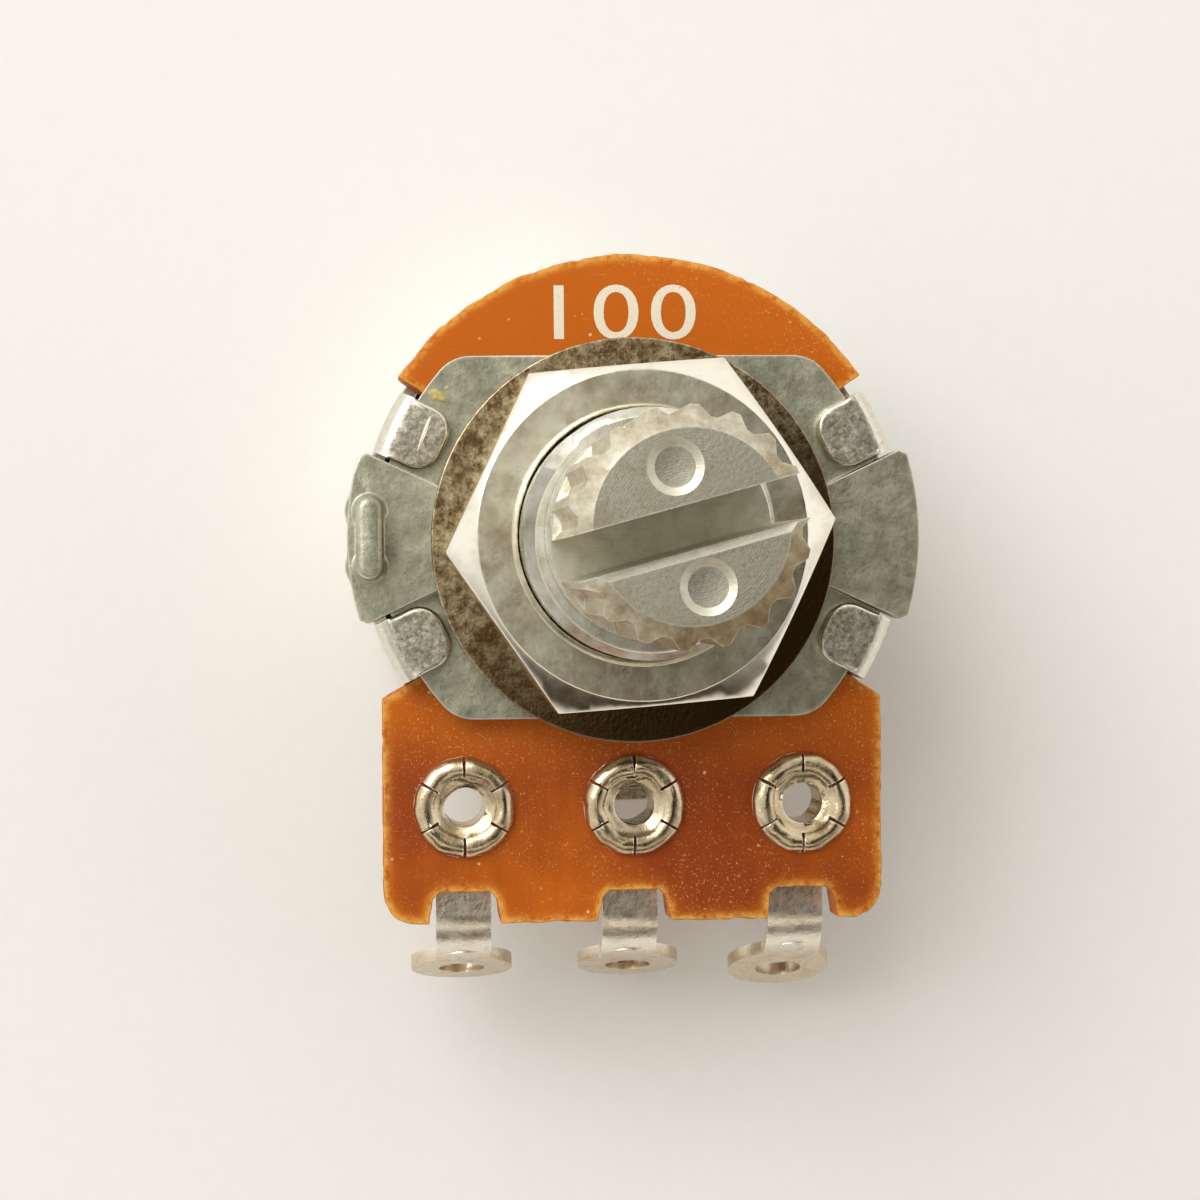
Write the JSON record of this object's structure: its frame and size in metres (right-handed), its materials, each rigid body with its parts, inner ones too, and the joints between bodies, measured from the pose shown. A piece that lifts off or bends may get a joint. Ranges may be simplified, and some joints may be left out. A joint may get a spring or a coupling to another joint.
{
  "type": "rotary potentiometer",
  "caption": "Panel-mount rotary potentiometer with a threaded bushing, nut and washer, knurled split shaft, phenolic wafer and solder lugs bent back over a folded steel cover.",
  "frame": {"origin": "on the shaft axis, at the face of the plate that meets the panel", "axes": "+Z along the shaft to its tip, +X to the right with the solder lugs on the -Y side"},
  "size_m": [0.0168, 0.0223, 0.0239],
  "materials": {
    "zinc_casting": "matte die-cast zinc",
    "nut_plating": "dull plated steel",
    "washer_oxide": "dark oxide",
    "phenolic": "satin phenolic laminate",
    "carbon_ink": "matte carbon print",
    "silver_ink": "satin silver print",
    "tinned_brass": "tinned",
    "cover_steel": "tinned sheet steel",
    "shaft_metal": "satin turned",
    "white_nylon": "satin",
    "spring_steel": "satin",
    "black_resin": "moulded",
    "spring_bronze": "satin"
  },
  "bodies": {
    "housing": {"front_plate": "zinc_casting", "hex_nut": "nut_plating", "flat_washer": "washer_oxide", "wafer": "phenolic", "resistive_track": "carbon_ink", "collector_ring": "silver_ink", "end_pad_left": "silver_ink", "end_pad_right": "silver_ink", "terminal_left": "tinned_brass", "terminal_middle": "tinned_brass", "terminal_right": "tinned_brass", "eyelet_left": "tinned_brass", "eyelet_middle": "tinned_brass", "eyelet_right": "tinned_brass", "rear_cover": "cover_steel", "thrust_washer": "white_nylon"},
    "spindle": {"shaft": "shaft_metal", "retaining_ring": "spring_steel", "rotor": "black_resin", "wiper": "spring_bronze"}
  },
  "joints": [
    {"name": "shaft_turn", "type": "hinge", "parent": "housing", "child": "spindle", "pos_m": [0, 0, 0], "axis": [0, 0, 1], "range_deg": [-165, 135]}
  ]
}
